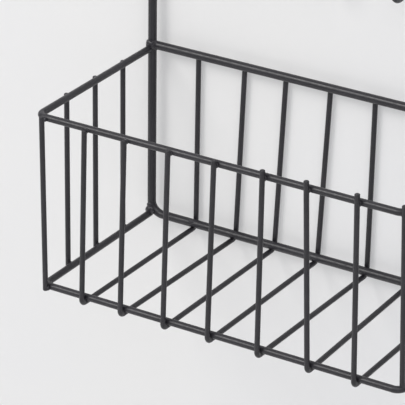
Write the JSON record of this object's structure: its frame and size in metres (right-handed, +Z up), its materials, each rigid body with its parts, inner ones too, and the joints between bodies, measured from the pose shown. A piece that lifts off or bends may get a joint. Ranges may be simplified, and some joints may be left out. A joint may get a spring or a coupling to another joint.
{
  "type": "wall-hung wire basket rack",
  "caption": "Welded wire basket on an upright rod frame that screws to a wall, with a rail of hanging S-hooks above it for tools.",
  "frame": {"origin": "midway between the two screw holes, on the wall's surface", "axes": "+Z up, +Y into the wall, +X to the right as seen from the room"},
  "size_m": [0.2356, 0.1267, 0.2643],
  "materials": {
    "rods": "satin charcoal powder coat",
    "rims": "satin charcoal powder coat",
    "wires": "satin charcoal powder coat",
    "plates": "satin charcoal powder coat",
    "hooks": "satin charcoal powder coat, rubbed inside the loops"
  },
  "bodies": {
    "rack": {"frame_hoop": "rods", "rear_top_rail": "rods", "hook_rail": "rods", "top_rim": "rims", "bottom_rim": "rims", "basket_wire_1": "wires", "basket_wire_2": "wires", "basket_wire_3": "wires", "basket_wire_4": "wires", "basket_wire_5": "wires", "basket_wire_6": "wires", "basket_wire_7": "wires", "corner_wire_left": "wires", "corner_wire_right": "wires", "side_wire_left_1": "wires", "side_wire_left_2": "wires", "side_wire_left_3": "wires", "side_wire_right_1": "wires", "side_wire_right_2": "wires", "side_wire_right_3": "wires", "mount_tab_left": "plates", "mount_tab_right": "plates"},
    "hook_1": {"s_hook_1": "hooks"},
    "hook_2": {"s_hook_2": "hooks"},
    "hook_3": {"s_hook_3": "hooks"},
    "hook_4": {"s_hook_4": "hooks"},
    "hook_5": {"s_hook_5": "hooks"}
  },
  "joints": [
    {"name": "hook_1_swing", "type": "hinge", "parent": "rack", "child": "hook_1", "pos_m": [-0.095, -0.0107, -0.02955], "axis": [-1, 0, 0], "range_deg": [0, 80]},
    {"name": "hook_2_swing", "type": "hinge", "parent": "rack", "child": "hook_2", "pos_m": [-0.0475, -0.0107, -0.02955], "axis": [-1, 0, 0], "range_deg": [0, 80]},
    {"name": "hook_3_swing", "type": "hinge", "parent": "rack", "child": "hook_3", "pos_m": [0, -0.0107, -0.02955], "axis": [-1, 0, 0], "range_deg": [0, 80]},
    {"name": "hook_4_swing", "type": "hinge", "parent": "rack", "child": "hook_4", "pos_m": [0.0475, -0.0107, -0.02955], "axis": [-1, 0, 0], "range_deg": [0, 80]},
    {"name": "hook_5_swing", "type": "hinge", "parent": "rack", "child": "hook_5", "pos_m": [0.095, -0.0107, -0.02955], "axis": [-1, 0, 0], "range_deg": [0, 80]}
  ]
}
